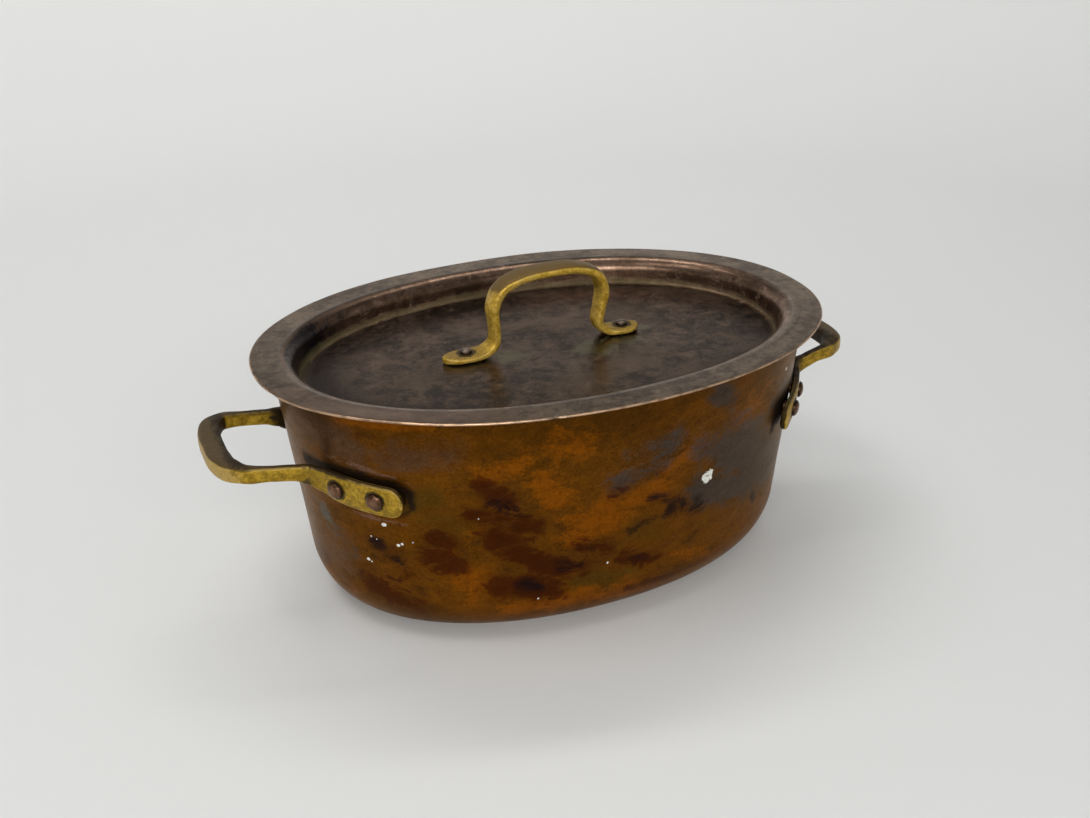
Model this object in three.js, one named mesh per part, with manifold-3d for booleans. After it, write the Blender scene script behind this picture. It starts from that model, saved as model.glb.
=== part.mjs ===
// Oval copper casserole: a tin-lined copper pot with two riveted brass side handles,
// and a dished, flanged lid that drops in and carries a riveted brass bow handle.
// Millimetres, +Z up, +X along the oval's long axis, origin at the middle of the base.
import * as THREE from "three";
import { mergeVertices } from "three/addons/utils/BufferGeometryUtils.js";
import Module from "manifold-3d";

const wasm = await Module();
wasm.setup();

// ---- driving dimensions -------------------------------------------------------------
const rimHalfLength = 150; // the lid flange's outer edge, along X
const rimHalfWidth = 109.5; // and along Y
const ovalPower = 2.12; // 2 is a true ellipse; a hand-drawn oval is slightly fuller
const flangeTop = 132; // top of the lid's flange above the base
const gap = 0.3; // between pieces that touch
const tinThickness = 0.5;

const pot = {
  wall: 1.6,
  topInset: 9.5, // the pot's mouth lies this far inside the lid flange's edge
  taper: THREE.MathUtils.degToRad(6.2), // the walls lean in towards the base
  cornerRadius: 32, // between wall and base
};

const lid = {
  sheet: 1.2,
  flangeWidth: 14, // flat, from the outer edge to where the shoulder rolls over
  shoulderRadius: 8,
  shoulderTurn: THREE.MathUtils.degToRad(84), // how far the shoulder turns down
  depth: 14, // from the flange down to the panel
  filletRadius: 1.6, // between the dish's wall and its panel
  tinInset: 3, // bare copper at the flange's edge
};

const side = {
  gripHeight: 97.5, // of the grip's middle above the base
  halfThick: 1.9, // of the foot, across the strap
  footHalfTall: 8,
  armHalfTall: 3.6,
  armHalfThick: 2.4,
  gripHalfTall: 4.5,
  gripHalfThick: 5.5,
  footEndRound: 7,
  rivetAngles: [26, 37.3].map(THREE.MathUtils.degToRad), // round the oval from +X
  rivetDrops: [9.8, 10.8], // below the grip's middle
  rivetStandoffs: [0.6, 1.1], // of the straight foot from the curved wall
  // The two cast handles differ a little: the grip's distance out, half the arms' spacing,
  // and how far the feet hang down towards their ends.
  left: { reach: 173.3, spread: 33.4, footDroop: 0 },
  right: { reach: 169.2, spread: 28.2, footDroop: 1.4 },
};

const bow = {
  offset: [1.5, 2.5], // the lid's handle is riveted a little off centre
  halfThick: 2.5,
  halfWide: 5.4,
  footHalfThick: 1.9,
  footHalfWide: 7.4,
  footEndRound: 9,
  rivetX: 44,
};

const sideRivet = { shank: 2.8, head: 4.3, headHeight: 2.4, tail: 4.4, tailHeight: 1.3 };
const lidRivet = { shank: 1.9, head: 3.3, headHeight: 1.9, tail: 3.6, tailHeight: 1.0 };
const holeClearance = 0.3; // between a rivet's shank and its hole, all round
const curveGap = 0.6; // under a side rivet's flat tail, as the wall behind it is curved

// ---- materials ----------------------------------------------------------------------
const material = (color, roughness, metalness) =>
  new THREE.MeshStandardMaterial({ color, roughness, metalness });
const agedCopper = material(0x8a4a22, 0.42, 0.9);
const darkCopper = material(0x4a3a33, 0.45, 0.85);
const tin = material(0xa3a29c, 0.5, 0.9);
const brass = material(0xa88a3c, 0.38, 0.95);
const rivetCopper = material(0x7a4a32, 0.4, 0.9);

// ---- the oval -----------------------------------------------------------------------
const ovalSegments = 56;
const roundSides = 12; // of rivets and their holes
const rimDifference = rimHalfLength - rimHalfWidth; // the same on every level of the pot

const signedPower = (value, power) => Math.sign(value) * Math.abs(value) ** power;

// A point of the oval with this half length, at this angle round it.
function ovalPoint(halfLength, angle) {
  const halfWidth = Math.max(halfLength - rimDifference, 0);
  return new THREE.Vector2(
    halfLength * signedPower(Math.cos(angle), 2 / ovalPower),
    halfWidth * signedPower(Math.sin(angle), 2 / ovalPower),
  );
}

// Turns a profile of (half length, height) points round the oval. It starts and ends on the axis.
function ovalLathe(profile) {
  const geometry = new THREE.LatheGeometry(profile, ovalSegments);
  const position = geometry.getAttribute("position");
  for (let i = 0; i < position.count; i++) {
    const [x, height, z] = [position.getX(i), position.getY(i), position.getZ(i)];
    const flat = ovalPoint(Math.hypot(x, z), Math.atan2(x, z));
    position.setXYZ(i, flat.x, flat.y, height);
  }
  return geometry;
}

// The profile moved sideways by a distance, to its left as it is walked along.
function offsetProfile(points, distance) {
  return points.map((point, i) => {
    const before = points[Math.max(i - 1, 0)];
    const after = points[Math.min(i + 1, points.length - 1)];
    const along = after.clone().sub(before).normalize();
    const moved = new THREE.Vector2(-along.y, along.x).multiplyScalar(distance).add(point);
    if (point.x === 0) moved.set(0, point.y + distance); // the base and the panel are level
    return moved;
  });
}

// A sheet between two offsets of a profile that starts on the axis.
function ovalSheet(profile, from, to, endHeight) {
  const [one, other] = [from, to].map((distance) => offsetProfile(profile, distance));
  if (endHeight !== undefined)
    for (const face of [one, other]) face[face.length - 1].y = endHeight;
  return ovalLathe([...one, ...other.reverse()]);
}

// ---- solids: cutting with manifold-3d -----------------------------------------------
function toManifold(geometry) {
  const bare = geometry.index ? geometry.toNonIndexed() : geometry.clone();
  bare.deleteAttribute("normal");
  bare.deleteAttribute("uv");
  const merged = mergeVertices(bare, 1e-3);
  return new wasm.Manifold(
    new wasm.Mesh({
      numProp: 3,
      vertProperties: merged.getAttribute("position").array,
      triVerts: new Uint32Array(merged.index.array),
    }),
  );
}

function toGeometry(solid) {
  const mesh = solid.getMesh();
  return new THREE.BufferGeometry()
    .setAttribute("position", new THREE.BufferAttribute(mesh.vertProperties, 3))
    .setIndex(new THREE.BufferAttribute(mesh.triVerts, 1));
}

const drillLength = 40;

// Drills every rivet's hole through a geometry.
function drilled(geometry, rivets) {
  let solid = toManifold(geometry);
  for (const { point, outward, size } of rivets) {
    const radius = size.shank + holeClearance;
    const drill = new THREE.CylinderGeometry(radius, radius, drillLength, roundSides);
    drill.applyQuaternion(turnTo(outward)).translate(point.x, point.y, point.z);
    solid = solid.subtract(toManifold(drill));
  }
  return toGeometry(solid);
}

// The turn that takes +Y, a lathe's axis, to a direction.
const turnTo = (direction) =>
  new THREE.Quaternion().setFromUnitVectors(new THREE.Vector3(0, 1, 0), direction);

// ---- the pot's and the lid's profiles -------------------------------------------------
const potTop = flangeTop - lid.sheet - tinThickness - 2 * gap;
const potTopHalfLength = rimHalfLength - pot.topInset;

// The pot's outer face, from the middle of the base up to the mouth.
function potProfile() {
  const { cornerRadius: radius, taper } = pot;
  const wallLength = (potTop - radius + radius * Math.sin(taper)) / Math.cos(taper);
  const cornerX = potTopHalfLength - radius * Math.cos(taper) - wallLength * Math.sin(taper);
  const outline = new THREE.Path();
  outline.moveTo(cornerX, 0);
  outline.absarc(cornerX, radius, radius, -Math.PI / 2, -taper, false);
  outline.lineTo(potTopHalfLength, potTop);
  return [new THREE.Vector2(0, 0), ...outline.getPoints(3)];
}

// The half length of the pot's outer face at a height on its straight wall.
const wallHalfLength = (height) =>
  potTopHalfLength - (potTop - height) * Math.tan(pot.taper);

// The lid's upper face, from the middle of the panel out to the flange's edge.
function lidProfile() {
  const shoulderX = rimHalfLength - lid.flangeWidth;
  const turn = lid.shoulderTurn;
  const wallX = shoulderX - lid.shoulderRadius * Math.sin(turn);
  const wallY = flangeTop - lid.shoulderRadius * (1 - Math.cos(turn));
  const panelY = flangeTop - lid.depth;
  const filletTop = panelY + lid.filletRadius * (1 - Math.cos(turn));
  const footX = wallX - (wallY - filletTop) / Math.tan(turn);
  const outline = new THREE.Path();
  const filletX = footX - lid.filletRadius * Math.sin(turn);
  outline.moveTo(filletX, panelY);
  const filletY = panelY + lid.filletRadius;
  const shoulderY = flangeTop - lid.shoulderRadius;
  const right = Math.PI / 2;
  outline.absarc(filletX, filletY, lid.filletRadius, -right, turn - right, false);
  outline.absarc(shoulderX, shoulderY, lid.shoulderRadius, right + turn, right, true);
  outline.lineTo(rimHalfLength, flangeTop);
  return [new THREE.Vector2(0, panelY), ...outline.getPoints(2)];
}

// ---- bars: a strap of changing section along a smooth path ---------------------------
// Each station is { at, wide, thick }: its middle, its half width along `across`, and its half
// thickness. `endRound` rounds both ends of the strap in plan.
const barSides = 12;
const stepsPerSpan = 2;
const lengthSteps = 400; // for measuring how far a section is from the bar's end
const narrowest = 0.2; // of the strap's width, at its very end
const sectionPower = 0.62; // below 1 squares the section off towards a rounded rectangle

function bar(stations, acrossAt, endRound) {
  const path = new THREE.CatmullRomCurve3(stations.map((s) => s.at), false, "centripetal");
  const spans = stations.length - 1;
  const geometry = new THREE.CylinderGeometry(1, 1, 1, barSides, spans * stepsPerSpan);
  const position = geometry.getAttribute("position");
  const lengths = path.getLengths(lengthSteps);
  for (let i = 0; i < position.count; i++) {
    const t = position.getY(i) + 0.5;
    const middle = path.getPoint(t);
    const along = path.getTangent(t);
    const across = acrossAt(middle);
    across.addScaledVector(along, -across.dot(along)).normalize();
    const through = new THREE.Vector3().crossVectors(across, along);
    const walked = lengths[Math.round(t * lengthSteps)];
    const fromEnd = Math.min(walked, lengths[lengthSteps] - walked);
    const rounding = 1 - Math.min(fromEnd / endRound, 1);
    const narrowing = Math.max(Math.sqrt(1 - rounding ** 2), narrowest);
    const { wide, thick } = sizeAt(stations, t * spans);
    const u = signedPower(position.getX(i), sectionPower);
    const v = signedPower(position.getZ(i), sectionPower);
    middle.addScaledVector(across, u * wide * narrowing).addScaledVector(through, v * thick);
    position.setXYZ(i, middle.x, middle.y, middle.z);
  }
  return geometry;
}

// The section between two stations.
function sizeAt(stations, where) {
  const i = Math.min(Math.floor(where), stations.length - 2);
  const share = THREE.MathUtils.smoothstep(where - i, 0, 1);
  const [a, b] = [stations[i], stations[i + 1]];
  return {
    wide: THREE.MathUtils.lerp(a.wide, b.wide, share),
    thick: THREE.MathUtils.lerp(a.thick, b.thick, share),
  };
}

// ---- rivets -------------------------------------------------------------------------
// Upset copper rivets: a domed head outside, a shank, and a hammered tail inside.
// `point` is where the shank leaves the outer piece, `grip` the thickness held.
function rivetGeometry({ point, outward, size, grip }) {
  const quarter = (radius, height, steps) =>
    Array.from({ length: steps + 1 }, (_, i) => {
      const angle = (i / steps) * (Math.PI / 2);
      return new THREE.Vector2(radius * Math.sin(angle), height * Math.cos(angle));
    });
  const head = quarter(size.head, size.headHeight, 3).map((p) => p.setY(p.y + gap));
  const tail = quarter(size.tail, -size.tailHeight, 2).map((p) => p.setY(p.y - grip));
  const shank = [new THREE.Vector2(size.shank, gap), new THREE.Vector2(size.shank, -grip)];
  head[0].x = 0;
  tail[0].x = 0;
  const profile = [...head, ...shank, ...tail.reverse()].reverse();
  const geometry = new THREE.LatheGeometry(profile, roundSides);
  return geometry.applyQuaternion(turnTo(outward)).translate(point.x, point.y, point.z);
}

// ---- the side handles -----------------------------------------------------------------
// Everything here is for the handle at +X; the other is the same, turned half way round.

// The wall's outward direction, level, at an angle round the oval.
function wallOutward(angle, height) {
  const halfLength = wallHalfLength(height);
  const step = 1e-3;
  const before = ovalPoint(halfLength, angle - step);
  const after = ovalPoint(halfLength, angle + step);
  return new THREE.Vector3(after.y - before.y, before.x - after.x, 0).normalize();
}

// A point on the wall at an angle and height, moved outwards.
function offWall(angle, height, distance) {
  const flat = ovalPoint(wallHalfLength(height), angle);
  return new THREE.Vector3(flat.x, flat.y, height).addScaledVector(
    wallOutward(angle, height),
    distance,
  );
}

// A station of the foot: its angle round the oval in degrees, how far it is below the grip's
// middle, its standoff from the wall, and its half height.
const onFoot = (angle, drop, standoff, wide) => ({
  at: offWall(
    THREE.MathUtils.degToRad(angle),
    side.gripHeight - drop,
    side.halfThick + standoff,
  ),
  wide,
  thick: side.halfThick,
});
const inAir = (x, y, drop, wide, thick) => ({
  at: new THREE.Vector3(x, y, side.gripHeight - drop),
  wide,
  thick,
});
const { footHalfTall, armHalfTall, gripHalfTall, armHalfThick, gripHalfThick } = side;
const neckX = 135.5; // where the strap has left the wall

// From a foot's end, off the wall at the neck, out along the arm and half way along the grip.
const halfHandle = ({ reach, spread, footDroop }) => [
  onFoot(44.0, 11.9 + footDroop, 2.0, footHalfTall),
  onFoot(42.4, 11.8 + footDroop * 0.9, 1.8, footHalfTall),
  onFoot(40.0, 11.6 + footDroop * 0.7, 1.5, footHalfTall),
  onFoot(35.0, 11.2 + footDroop * 0.3, 1.0, footHalfTall),
  onFoot(30.0, 10.6, 0.6, footHalfTall),
  onFoot(25.5, 9.6, 0.5, footHalfTall * 0.98),
  onFoot(21.5, 8.0, 1.0, footHalfTall * 0.82),
  inAir(neckX, spread + 1.2, 5.4, armHalfTall * 1.35, armHalfThick),
  inAir(neckX + 7, spread, 3.6, armHalfTall * 1.05, armHalfThick),
  inAir(reach - 20, spread - 0.6, 1.9, armHalfTall, armHalfThick),
  inAir(reach - 9.6, spread - 2.2, 0.5, armHalfTall * 1.1, armHalfThick * 1.4),
  inAir(reach - 2.9, spread - 9.5, 0, gripHalfTall, gripHalfThick * 0.9),
  inAir(reach - 0.5, spread - 20, 0, gripHalfTall, gripHalfThick),
];
const mirrored = ({ at, wide, thick }) => ({
  at: new THREE.Vector3(at.x, -at.y, at.z),
  wide,
  thick,
});
const sideStations = (shape) => [
  ...halfHandle(shape),
  inAir(shape.reach, 0, 0, gripHalfTall, gripHalfThick),
  ...halfHandle(shape).map(mirrored).reverse(),
];

// The feet lean with the wall; the arms and the grip stand upright.
const leanEnds = [128, 142]; // from full lean to none, along X
function sideAcross(point) {
  const lean = 1 - THREE.MathUtils.smoothstep(point.x, ...leanEnds);
  const halfLength = wallHalfLength(point.z);
  const halfWidth = halfLength - rimDifference;
  const outward = new THREE.Vector3(point.x / halfLength ** 2, point.y / halfWidth ** 2, 0);
  return outward.setLength(Math.tan(pot.taper) * lean + 1e-9).setZ(1);
}

// The two rivets of one foot: `sign` is +1 for the back foot and -1 for the front one.
function footRivets(sign) {
  return side.rivetAngles.map((angle, i) => {
    const height = side.gripHeight - side.rivetDrops[i];
    const outward = wallOutward(sign * angle, height);
    outward.z = -Math.tan(pot.taper);
    outward.normalize();
    const reach = 2 * side.halfThick + side.rivetStandoffs[i];
    const point = offWall(sign * angle, height, 0).addScaledVector(outward, reach);
    const grip = reach + pot.wall + gap + tinThickness + curveGap;
    return { point, outward, size: sideRivet, grip };
  });
}

// ---- the lid's bow handle --------------------------------------------------------------
const panelTop = flangeTop - lid.depth;
const footHeight = panelTop + gap + bow.footHalfThick;
const { halfWide, halfThick, footHalfWide, footHalfThick } = bow;
const bowStation = (x, height, wide, thick) => ({
  at: new THREE.Vector3(x + bow.offset[0], bow.offset[1], height),
  wide,
  thick,
});
const bowFoot = (x, wide) => bowStation(x, footHeight, wide, footHalfThick);
const bowHeel = (x, rise) =>
  bowStation(x, footHeight + rise, halfWide * 1.15, halfThick * 0.95);
const bowLeg = (x, height) => bowStation(x, height, halfWide, halfThick);
const bowArch = (x, rise, widening) =>
  bowStation(x, flangeTop + rise, halfWide * widening, halfThick * 1.12);
const bowStations = [
  bowFoot(-56.6, footHalfWide * 0.75),
  bowFoot(-53.0, footHalfWide * 0.9),
  bowFoot(-47.0, footHalfWide),
  bowFoot(-41.0, footHalfWide),
  bowHeel(-34.0, 0.9),
  bowLeg(-28.8, footHeight + 5),
  bowLeg(-28.2, flangeTop + 2),
  bowArch(-28.6, 12, 1.1),
  bowArch(-24.0, 21, 1.2),
  bowArch(-13.0, 25.8, 1.3),
  bowArch(2.0, 27, 1.3),
  bowArch(17.0, 26.2, 1.3),
  bowArch(28.4, 21.4, 1.2),
  bowArch(32.6, 12, 1.1),
  bowLeg(30.8, flangeTop + 2),
  bowLeg(29.8, footHeight + 5.4),
  bowHeel(34.6, 0.9),
  bowFoot(41.0, footHalfWide),
  bowFoot(46.0, footHalfWide),
  bowFoot(50.0, footHalfWide * 0.9),
  bowFoot(53.4, footHalfWide * 0.75),
];

function lidRivets() {
  return [-1, 1].map((sign) => ({
    point: new THREE.Vector3(
      sign * bow.rivetX + bow.offset[0],
      bow.offset[1],
      footHeight + footHalfThick,
    ),
    outward: new THREE.Vector3(0, 0, 1),
    size: lidRivet,
    grip: 2 * footHalfThick + gap + lid.sheet + gap + tinThickness + gap,
  }));
}

// ---- the assembly -----------------------------------------------------------------------
function add(parent, name, geometry, look) {
  const mesh = new THREE.Mesh(geometry, look);
  mesh.name = name;
  parent.add(mesh);
}

const halfTurn = (rivet) => ({
  ...rivet,
  point: new THREE.Vector3(-rivet.point.x, -rivet.point.y, rivet.point.z),
  outward: new THREE.Vector3(-rivet.outward.x, -rivet.outward.y, rivet.outward.z),
});

function addPot(parent) {
  const backRivets = footRivets(1);
  const frontRivets = footRivets(-1);
  const groups = {
    right_back: backRivets,
    right_front: frontRivets,
    left_back: frontRivets.map(halfTurn),
    left_front: backRivets.map(halfTurn),
  };
  const everyRivet = Object.values(groups).flat();
  const profile = potProfile();
  const copper = ovalSheet(profile, 0, pot.wall, potTop);
  const inside = pot.wall + gap;
  const lining = ovalSheet(profile, inside, inside + tinThickness, potTop - gap);
  add(parent, "pot_body", drilled(copper, everyRivet), agedCopper);
  add(parent, "pot_tin_lining", drilled(lining, everyRivet), tin);

  const handle = (shape) =>
    drilled(bar(sideStations(shape), sideAcross, side.footEndRound), [...backRivets, ...frontRivets]);
  add(parent, "right_handle", handle(side.right), brass);
  add(parent, "left_handle", handle(side.left).rotateZ(Math.PI), brass);

  for (const [place, rivets] of Object.entries(groups))
    rivets.forEach((rivet, i) =>
      add(parent, `${place}_rivet_${i + 1}`, rivetGeometry(rivet), rivetCopper),
    );
}

function addLid(parent) {
  const rivets = lidRivets();
  const profile = lidProfile();
  const under = -(lid.sheet + gap);
  const underProfile = profile.map((p) => p.clone());
  underProfile[underProfile.length - 1].x -= lid.tinInset;
  const copper = ovalSheet(profile, -lid.sheet, 0);
  const lining = ovalSheet(underProfile, under - tinThickness, under);
  add(parent, "lid_shell", drilled(copper, rivets), darkCopper);
  add(parent, "lid_tin_lining", drilled(lining, rivets), tin);

  const strap = bar(bowStations, () => new THREE.Vector3(0, 1, 0), bow.footEndRound);
  add(parent, "lid_handle", drilled(strap, rivets), brass);
  add(parent, "lid_left_rivet", rivetGeometry(rivets[0]), rivetCopper);
  add(parent, "lid_right_rivet", rivetGeometry(rivets[1]), rivetCopper);
}

const casserole = new THREE.Group();
const potGroup = new THREE.Group();
const lidGroup = new THREE.Group();
addPot(potGroup);
addLid(lidGroup);
casserole.add(potGroup, lidGroup);

export default casserole;
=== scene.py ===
"""Looks for the oval copper casserole: fine surfaces and aged-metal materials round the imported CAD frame."""
import math
from functools import reduce

import bpy
import numpy as np
from mathutils import Matrix, Vector, noise


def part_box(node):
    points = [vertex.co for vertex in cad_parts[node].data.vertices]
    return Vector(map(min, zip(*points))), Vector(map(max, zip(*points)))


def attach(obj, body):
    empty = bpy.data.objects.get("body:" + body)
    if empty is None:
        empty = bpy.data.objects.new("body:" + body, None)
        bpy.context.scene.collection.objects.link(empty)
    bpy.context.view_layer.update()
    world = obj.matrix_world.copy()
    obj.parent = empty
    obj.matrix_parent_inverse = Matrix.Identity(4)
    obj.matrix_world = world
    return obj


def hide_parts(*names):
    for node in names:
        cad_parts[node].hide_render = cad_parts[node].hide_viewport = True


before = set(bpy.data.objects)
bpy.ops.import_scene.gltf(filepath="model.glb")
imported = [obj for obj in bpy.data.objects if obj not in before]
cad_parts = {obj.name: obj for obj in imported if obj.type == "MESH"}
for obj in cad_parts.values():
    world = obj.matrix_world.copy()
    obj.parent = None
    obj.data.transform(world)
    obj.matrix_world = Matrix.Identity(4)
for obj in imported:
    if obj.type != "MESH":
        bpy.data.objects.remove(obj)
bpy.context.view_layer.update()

MM = 0.001  # shapes below are worked out in millimetres and made in metres

# ---- driving dimensions, in millimetres ----
RIM_HALF_LENGTH, RIM_HALF_WIDTH, FLANGE_TOP = np.array(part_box("lid_shell")[1]) / MM
MOUTH_HALF_LENGTH, _, POT_TOP = np.array(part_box("pot_body")[1]) / MM
OVAL_POWER = 2.12
OVAL_DIFFERENCE = RIM_HALF_LENGTH - RIM_HALF_WIDTH
GAP = 0.3
TIN = 0.5

POT_WALL = 1.6
POT_TAPER = math.radians(6.2)
POT_CORNER = 32.0

LID_SHEET = 1.2
FLANGE_WIDTH = 14.0
SHOULDER_RADIUS = 8.0
SHOULDER_TURN = math.radians(84)
LID_DEPTH = 14.0
FILLET_RADIUS = 1.6
LID_TIN_INSET = 3.0

GRIP_HEIGHT = 97.5
FOOT_HALF_THICK = 1.9
FOOT_HALF_TALL = 8.0
ARM_HALF_TALL = 3.6
ARM_HALF_THICK = 2.4
GRIP_HALF_TALL = 4.5
GRIP_HALF_THICK = 5.5
NECK_X = 135.5
RIVET_ANGLES = (26.0, 37.3)
RIVET_DROPS = (9.8, 10.8)
RIVET_STANDOFFS = (0.6, 1.1)
CURVE_GAP = 0.6
# The grip's distance out, half the arms' spacing, and how far the feet hang down at their ends.
LEFT_HANDLE = (173.3, 33.4, 0.0)
RIGHT_HANDLE = (169.2, 28.2, 1.4)

BOW_OFFSET = (1.5, 2.5)
BOW_HALF_THICK = 2.5
BOW_HALF_WIDE = 5.4
BOW_FOOT_HALF_THICK = 1.9
BOW_FOOT_HALF_WIDE = 7.4
BOW_RIVET_X = 44.0

SIDE_RIVET = dict(shank=2.8, head=4.3, head_height=2.4, tail=4.4, tail_height=1.3)
LID_RIVET = dict(shank=1.9, head=3.3, head_height=1.9, tail=3.6, tail_height=1.0)
HOLE_CLEARANCE = 0.3


# ---- meshes ----
def new_object(name, points, faces, smooth=True):
    """A mesh object, from points in millimetres."""
    mesh = bpy.data.meshes.new(name)
    mesh.from_pydata((np.asarray(points) * MM).tolist(), [], faces)
    mesh.update()
    mesh.polygons.foreach_set("use_smooth", [smooth] * len(mesh.polygons))
    made = bpy.data.objects.new(name, mesh)
    bpy.context.collection.objects.link(made)
    return made


def make_piece(name, points, faces, body, material, node):
    """A smooth-shaded piece that rides on a body and stands for a CAD node."""
    piece = new_object(name, points, faces)
    piece.data.materials.append(material)
    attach(piece, body)
    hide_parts(node)
    return piece


def paint(piece, **layers):
    """Named layers of one number per vertex, which the piece's material reads."""
    for layer, values in layers.items():
        attribute = piece.data.attributes.new(layer, "FLOAT", "POINT")
        attribute.data.foreach_set("value", np.asarray(values, dtype=np.float32))


def read(items, field, width=1, kind=np.int32):
    """A field of a mesh's vertices, edges, corners or faces, as an array with a row for each."""
    values = np.empty(len(items) * width, dtype=kind)
    items.foreach_get(field, values)
    return values if width == 1 else values.reshape(-1, width)


def piece_points(piece):
    return read(piece.data.vertices, "co", 3, np.float32).astype(float) / MM


def piece_normals(piece):
    return read(piece.data.vertices, "normal", 3, np.float32).astype(float)


def ring_faces(rings, sides):
    """Quads between consecutive rings of points."""
    faces = []
    for low in range(0, (rings - 1) * sides, sides):
        for i in range(sides):
            j = (i + 1) % sides
            faces.append((low + i, low + j, low + sides + j, low + sides + i))
    return faces


def closed_faces(rings, sides):
    """Quads between rings, and fans to the two poles that follow them."""
    first, last, top = rings * sides, rings * sides + 1, (rings - 1) * sides
    faces = ring_faces(rings, sides)
    for i in range(sides):
        j = (i + 1) % sides
        faces += [(first, j, i), (last, top + i, top + j)]
    return faces


# ---- the oval ----
def signed_power(value, power):
    return np.sign(value) * np.abs(value) ** power


def oval_points(half_length, angles):
    """Points round the oval whose half length is given; both may be arrays."""
    half_width = np.maximum(half_length - OVAL_DIFFERENCE, 0)
    x = half_length * signed_power(np.cos(angles), 2 / OVAL_POWER)
    y = half_width * signed_power(np.sin(angles), 2 / OVAL_POWER)
    return x, y


def even_angles(half_length, count):
    """Angles of points spaced evenly round the oval from the middle of the back, and the way to each."""
    fine = np.linspace(0, 2 * math.pi, 7201) + math.pi / 2
    x, y = oval_points(half_length, fine)
    length = np.concatenate([[0], np.cumsum(np.hypot(np.diff(x), np.diff(y)))])
    wanted = np.linspace(0, length[-1], count, endpoint=False)
    return np.interp(wanted, length, fine), wanted


def smoothstep(low, high, value):
    share = np.clip((value - low) / (high - low), 0, 1)
    return share * share * (3 - 2 * share)


def bell(value, middle, width):
    """1 at the middle, falling to about a third at this width from it on either side."""
    return np.exp(-(((value - middle) / width) ** 2))


def soft_noise(points, size, seed):
    """Smooth noise between about -1 and 1 whose features are this many millimetres across."""
    shift = Vector((seed * 17.3, seed * 5.1, seed * 9.7))
    return np.array([noise.noise(Vector(p) / size + shift) for p in points])


# ---- sheet metal turned round the oval ----
def arc(centre, radius, start, end, steps):
    angles = np.linspace(start, end, steps + 1)
    return [(centre[0] + radius * math.cos(a), centre[1] + radius * math.sin(a)) for a in angles]


def straight(start, end, steps):
    """Points from one to another, without the first."""
    start, end = np.array(start), np.array(end)
    return [tuple(start + (end - start) * i / steps) for i in range(1, steps + 1)]


def offset_profile(profile, distance):
    """The profile moved to its left; its first point is at the oval's middle and moves straight up."""
    points = np.array(profile)
    along = np.empty_like(points)
    along[1:-1] = points[2:] - points[:-2]
    along[0], along[-1] = (1, 0), points[-1] - points[-2]
    along /= np.linalg.norm(along, axis=1, keepdims=True)
    return points + distance * np.column_stack([-along[:, 1], along[:, 0]])


def sheet_profile(profile, low, high):
    """A sheet between two offsets of a profile, with a rounded edge at its outer end."""
    one, other = offset_profile(profile, low), offset_profile(profile, high)
    radius = (high - low) / 2
    inwards = (one[-2] - one[-1]) / np.linalg.norm(one[-2] - one[-1])
    across = (other[-1] - one[-1]) / (high - low)
    middle = (one[-1] + other[-1]) / 2 + inwards * radius
    turns = np.linspace(0, math.pi, 9)
    edge = [middle - radius * (across * math.cos(turn) + inwards * math.sin(turn)) for turn in turns]
    return np.vstack([one[:-1], edge, other[:-1][::-1]])


def oval_sheet(profile, sides, spread_at, flat_edge):
    """Points, faces and each point's angle, of a profile turned round the oval.

    Inside the flat base or panel, whose edge is given, the oval keeps its shape as it shrinks."""
    angles, _ = even_angles(spread_at, sides)
    rings = profile[1:-1]
    length, turn = np.meshgrid(rings[:, 0], angles, indexing="ij")
    x, y = oval_points(np.maximum(length, flat_edge), turn)
    shrink = np.minimum(length / flat_edge, 1)
    z = np.repeat(rings[:, 1][:, None], sides, axis=1)
    points = np.stack([x * shrink, y * shrink, z], axis=-1).reshape(-1, 3)
    poles = np.array([[0, 0, profile[0][1]], [0, 0, profile[-1][1]]])
    faces = closed_faces(len(rings), sides)
    return np.vstack([points, poles]), faces, np.append(np.tile(angles, len(rings)), [0, 0])


def outwards_at(points, half_length):
    """The level direction straight out of the oval at each point."""
    outwards = np.column_stack([
        points[:, 0] / half_length**2,
        points[:, 1] / (half_length - OVAL_DIFFERENCE) ** 2,
    ])
    return outwards / np.maximum(np.linalg.norm(outwards, axis=1, keepdims=True), 1e-9)


def shove_outwards(points, distance):
    points[:, :2] += outwards_at(points, MOUTH_HALF_LENGTH) * distance[:, None]


# ---- the pot ----
POT_SIDES = 520
POT_SPREAD = 128.0  # half length of the level at which distances round the wall are measured


def pot_profile():
    """The pot's outer face, from the middle of the base up to the mouth, and its flat base's edge."""
    radius, lean = POT_CORNER, POT_TAPER
    wall = (POT_TOP - radius + radius * math.sin(lean)) / math.cos(lean)
    corner_x = MOUTH_HALF_LENGTH - radius * math.cos(lean) - wall * math.sin(lean)
    base = [(0.0, 0.0)] + straight((0, 0), (corner_x, 0), 14)
    corner = arc((corner_x, radius), radius, -math.pi / 2, -lean, 18)[1:]
    wall_rows = straight(corner[-1], (MOUTH_HALF_LENGTH - 0.02, POT_TOP - 0.2), 64)
    return base + corner + wall_rows, corner_x


def wall_half_length(height):
    return MOUTH_HALF_LENGTH - (POT_TOP - height) * math.tan(POT_TAPER)


def hand_made(points):
    """The slow waves and shallow dings of a raised copper wall. They fade towards mouth and base."""
    height = points[:, 2]
    steady = smoothstep(POT_TOP, POT_TOP - 30, height) * smoothstep(0, 30, height)
    waves = 0.45 * soft_noise(points, 55, 1) + 0.14 * soft_noise(points, 17, 2)
    shove_outwards(points, steady * (waves - 0.2))
    return points


def pot_shell(low, high):
    profile, base_edge = pot_profile()
    points, faces, _ = oval_sheet(sheet_profile(profile, low, high), POT_SIDES, POT_SPREAD, base_edge)
    return hand_made(points), faces


# ---- the lid ----
LID_SIDES = 560


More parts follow.
